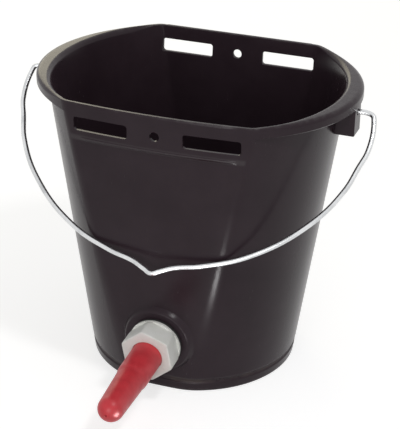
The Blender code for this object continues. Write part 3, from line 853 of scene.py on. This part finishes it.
TEAT_FLANGE_RADIUS = 16.6 * MM
TEAT_STEP_LENGTH = 36 * MM
TEAT_STEP = 4 * MM
TEAT_WAIST_RADIUS = 13.3 * MM
TEAT_TIP_RADIUS = 11.6 * MM
TEAT_LENGTH = 92 * MM
TEAT_WALL = 3.2 * MM
TEAT_SIDES = 96
TEAT_EDGE = 0.6 * MM
TEAT_BEND = 2 * MM
TEAT_DOME_START = 0.06
TEAT_DOME_STEPS = 18
TEAT_HOLE_RADIUS = 0.7 * MM
TEAT_HOLE_EASE = 0.3 * MM
TEAT_HOLE_DIP = 0.08 * MM
TEAT_HOLE_EDGE = 0.4 * MM
TEAT_RED = (0.64, 0.041, 0.054, 1)
TEAT_DEEP = (0.53, 0.028, 0.039, 1)
TEAT_BLOOM = (0.62, 0.16, 0.17, 1)


def teat_profile():
    """From the flange along the outside to the milk hole, and back along the inside."""
    mouth = teat_lip + CLEAR + NUT_LIP
    step = mouth + TEAT_STEP_LENGTH - TEAT_STEP / 2
    tip = mouth + TEAT_LENGTH - TEAT_TIP_RADIUS
    flange = teat_lip - TEAT_FLANGE
    outer = soften([(TEAT_FLANGE_RADIUS, flange), (TEAT_FLANGE_RADIUS, teat_lip),
                    (TEAT_BASE_RADIUS, teat_lip)], TEAT_EDGE)
    outer += soften([(TEAT_BASE_RADIUS, mouth), (TEAT_BASE_RADIUS, step),
                     (TEAT_WAIST_RADIUS, step + TEAT_STEP), (TEAT_TIP_RADIUS, tip)], TEAT_BEND)
    bore = TEAT_TIP_RADIUS - TEAT_WALL
    dome = np.linspace(TEAT_DOME_START, 1, TEAT_DOME_STEPS)[:-1]
    dome *= math.acos(TEAT_HOLE_RADIUS / TEAT_TIP_RADIUS)
    outer += [(TEAT_TIP_RADIUS * math.cos(turn), tip + TEAT_TIP_RADIUS * math.sin(turn)) for turn in dome]
    dimple = tip + TEAT_TIP_RADIUS
    outer += [(TEAT_HOLE_RADIUS + TEAT_HOLE_EASE, dimple - TEAT_HOLE_DIP),
              (TEAT_HOLE_RADIUS, dimple - TEAT_HOLE_EDGE)]
    inside = [(TEAT_HOLE_RADIUS, tip + bore)]
    inside += [(bore * math.cos(turn), tip + bore * math.sin(turn)) for turn in dome[::-2]]
    inside += [(TEAT_WAIST_RADIUS - TEAT_WALL, step + TEAT_STEP), (TEAT_BASE_RADIUS - TEAT_WALL, step),
               (TEAT_BASE_RADIUS - TEAT_WALL, flange)]
    return outer + inside


def red_rubber():
    """Soft moulded rubber: satin, with a pale bloom, deeper colour in clouds, and fine pits."""
    finish, shader, place = new_finish("red_rubber", Specular_IOR_Level=0.4)
    clouds = place.noise(70.0, 4.0, 0.6).rising(0.35, 0.7)
    bloom = place.noise(300.0, 5.0, 0.7).rising(0.52, 0.78)
    colour = clouds.blend(TEAT_RED, TEAT_DEEP)
    (0.14 * bloom).blend(colour, TEAT_BLOOM).feed(shader, "Base Color")
    (0.34 + 0.10 * clouds + 0.18 * bloom).feed(shader, "Roughness")
    (place.noise(2400.0, 3.0) + 0.7 * place.noise(420.0)).bump(0.03 * MM, 0.5).feed(shader, "Normal")
    return finish


teat = add_piece("teat_moulding", turned(teat_profile(), "closed", TEAT_SIDES), valve_axis)
fit(teat, red_rubber(), "teat", "teat")

# The studio is a wide pale floor under a soft even light. The floor and the surroundings show white to
# the camera and in reflections, and the floor keeps the bucket's shadow. A small card at the front stands
# for the bright patch whose reflection runs down the bucket's right front corner.

FLOOR_HALF = 5.0
FLOOR_SINK = 0.1 * MM
FLOOR_COLOUR = (0.62, 0.62, 0.62, 1)
FLOOR_GLOW = 0.66
SURROUND_LIGHT = 0.38


def seen_directly(tree):
    """1 for what the camera, a reflection or a clear material sees, and 0 for what only gets lit."""
    rays = [Socket(tree).node("LightPath", {}, {}, name)
            for name in ("Is Camera Ray", "Is Glossy Ray", "Is Transmission Ray")]
    return rays[0].maths("MAXIMUM", rays[0].maths("MAXIMUM", rays[0], rays[1]), rays[2])


def make_floor():
    mesh = bmesh.new()
    bmesh.ops.create_grid(mesh, x_segments=1, y_segments=1, size=FLOOR_HALF)
    piece = add_piece("studio_floor", mesh, Matrix.Translation((0, 0, -FLOOR_SINK)))
    finish, shader, _ = new_finish("studio_floor", Base_Color=FLOOR_COLOUR, Roughness=0.9,
                                   Specular_IOR_Level=0.0, Emission_Color=(1, 1, 1, 1))
    (FLOOR_GLOW * seen_directly(finish.node_tree)).feed(shader, "Emission Strength")
    piece.data.materials.append(finish)


def make_surroundings():
    world = bpy.data.worlds.new("surroundings")
    bpy.context.scene.world = world
    world.use_nodes = True
    shader = world.node_tree.nodes["Background"]
    shader.inputs["Color"].default_value = (1, 1, 1, 1)
    direct = seen_directly(world.node_tree)
    (SURROUND_LIGHT + (1 - SURROUND_LIGHT) * direct).feed(shader, "Strength")


def make_lamp(name, place, target, size, power, colour=(1, 1, 1)):
    """A soft rectangular lamp at a place, turned to a target."""
    lamp = bpy.data.lights.new(name, "AREA")
    lamp.shape = "RECTANGLE"
    lamp.size, lamp.size_y = size
    lamp.energy = power
    lamp.color = colour
    piece = bpy.data.objects.new(name, lamp)
    bpy.context.scene.collection.objects.link(piece)
    piece.location = place
    piece.rotation_euler = (Vector(place) - Vector(target)).to_track_quat("Z", "Y").to_euler()
    return piece


WARM = (1.0, 0.92, 0.66)

make_floor()
make_surroundings()
make_lamp("key", place=(0.66, -0.46, 1.40), target=(0, 0, 0.12), size=(0.19, 0.19), power=5)
make_lamp("front", place=(0.10, -1.78, 0.42), target=(0, 0, 0.10), size=(0.8, 0.8), power=7)
make_lamp("back_left", place=(-1.1, 1.5, 0.95), target=(0, 0, 0.25), size=(0.9, 0.9), power=5.4,
          colour=WARM)
front_card = make_lamp("front_card", place=(0.063, -0.2285, 0.002), target=(-0.015, -0.101, 0.110),
                       size=(0.04, 0.056), power=0.22)
front_card.visible_camera = False
front_card.visible_diffuse = False

# The camera stands in front of the bucket, a little to its right, and looks down on it. Its place, roll
# and focal length were fitted to the bucket's outline.

CAMERA_AZIMUTH = math.radians(19.333)
CAMERA_ELEVATION = math.radians(25.955)
CAMERA_ROLL = math.radians(1.111)
CAMERA_DISTANCE = 1446.863 * MM
CAMERA_SIDESTEP = 3.073 * MM
CAMERA_AIM_HEIGHT = 132.078 * MM
PICTURE_WIDTH = 400
FOCAL_PIXELS = 1563.93


def make_camera():
    data = bpy.data.cameras.new("camera")
    data.sensor_fit = "HORIZONTAL"
    data.lens = FOCAL_PIXELS / PICTURE_WIDTH * data.sensor_width
    piece = bpy.data.objects.new("camera", data)
    bpy.context.scene.collection.objects.link(piece)
    level = math.cos(CAMERA_ELEVATION)
    back = Vector((math.sin(CAMERA_AZIMUTH) * level, -math.cos(CAMERA_AZIMUTH) * level,
                   math.sin(CAMERA_ELEVATION)))
    right = Vector((math.cos(CAMERA_AZIMUTH), math.sin(CAMERA_AZIMUTH), 0))
    aim = right * CAMERA_SIDESTEP + Vector((0, 0, CAMERA_AIM_HEIGHT))
    axes = Matrix((right, back.cross(right), back)).transposed().to_4x4()
    piece.matrix_world = (Matrix.Translation(aim + back * CAMERA_DISTANCE) @ axes
                          @ Matrix.Rotation(CAMERA_ROLL, 4, "Z"))
    bpy.context.scene.camera = piece


make_camera()
bpy.context.scene.view_settings.view_transform = "Standard"
